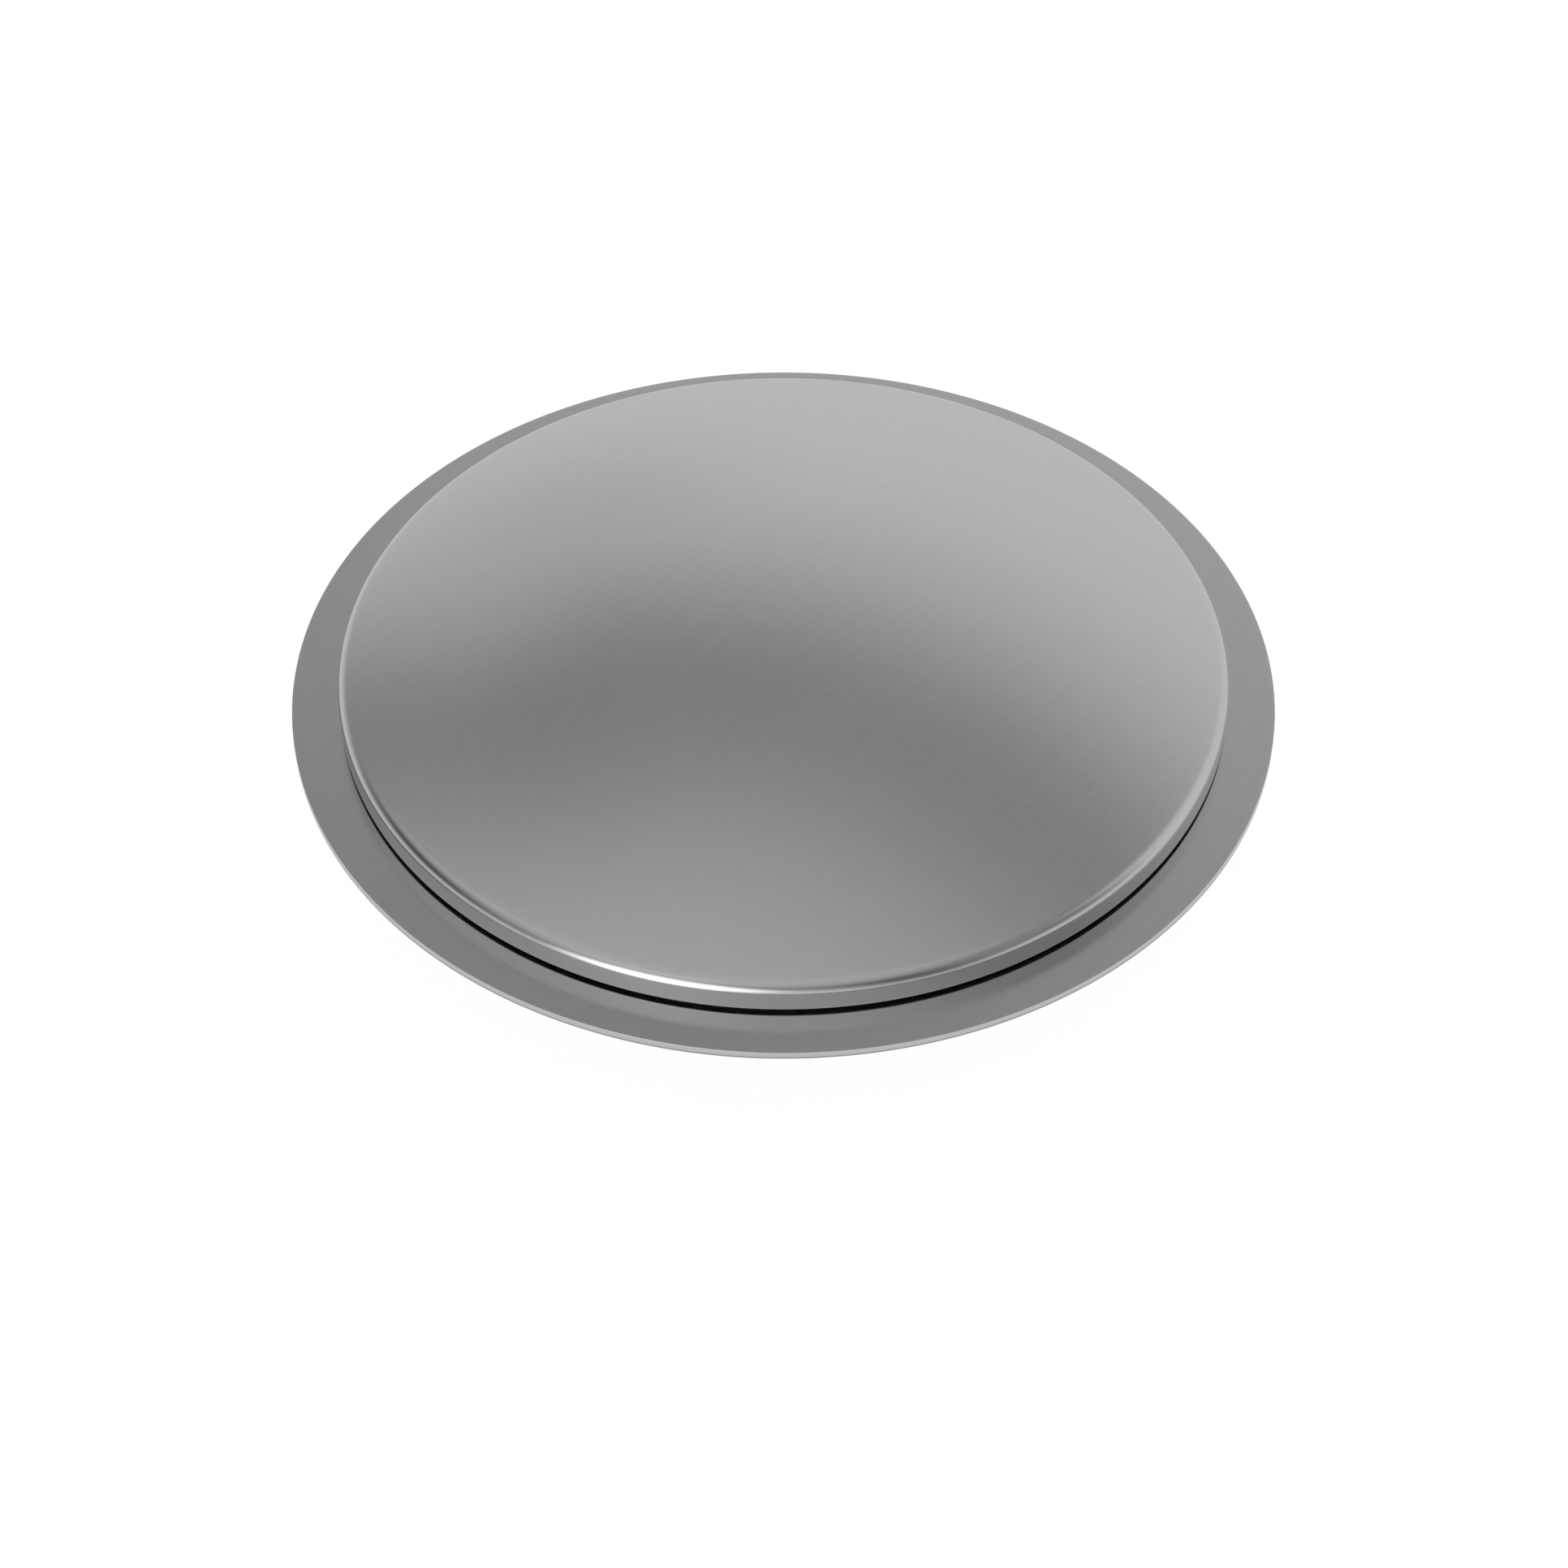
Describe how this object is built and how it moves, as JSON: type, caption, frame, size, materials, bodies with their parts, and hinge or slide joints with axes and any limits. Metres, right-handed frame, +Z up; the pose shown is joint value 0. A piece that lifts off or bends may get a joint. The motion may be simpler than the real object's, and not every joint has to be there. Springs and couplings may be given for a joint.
{
  "type": "manhole cover",
  "caption": "Round stainless lift-off manhole cover: a dished lid whose turned-down rim overlaps the upstand of a flanged neck, with seal, stiffening ribs and guide tabs.",
  "frame": {"origin": "on the neck's axis, level with the underside of the flange", "axes": "+Z up, out of the manhole; the ribs' and studs' pattern is laid out from +X"},
  "size_m": [0.7199, 0.72, 0.1364],
  "materials": {
    "lid_steel": "satin stainless",
    "flange_steel": "satin stainless",
    "neck_steel": "mill-finish stainless, pickled welds",
    "inner_steel": "mill-finish stainless, pickled welds",
    "stud_steel": "bright drawn stainless",
    "seal_rubber": "matt extruded EPDM"
  },
  "bodies": {
    "frame": {"flange_plate": "flange_steel", "spigot_ring": "neck_steel", "upstand_ring": "neck_steel", "land_ring": "neck_steel", "weld_studs": "stud_steel"},
    "seal": {"lid_seal": "seal_rubber"},
    "lid": {"lid_shell": "lid_steel", "seal_channel": "inner_steel", "hub_tube": "inner_steel", "rib_1": "inner_steel", "rib_2": "inner_steel", "rib_3": "inner_steel", "rib_4": "inner_steel", "rib_5": "inner_steel", "rib_6": "inner_steel", "guide_tab_1": "inner_steel", "guide_tab_2": "inner_steel", "guide_tab_3": "inner_steel", "guide_tab_4": "inner_steel", "guide_tab_5": "inner_steel", "guide_tab_6": "inner_steel"}
  },
  "joints": [
    {"name": "lid_lift", "type": "slide", "parent": "frame", "child": "seal", "axis": [0, 0, 1], "range_m": [0, 0.2]},
    {"name": "lid_turn", "type": "hinge", "parent": "seal", "child": "lid", "pos_m": [0, 0, 0], "axis": [0, 0, 1], "continuous": true}
  ]
}
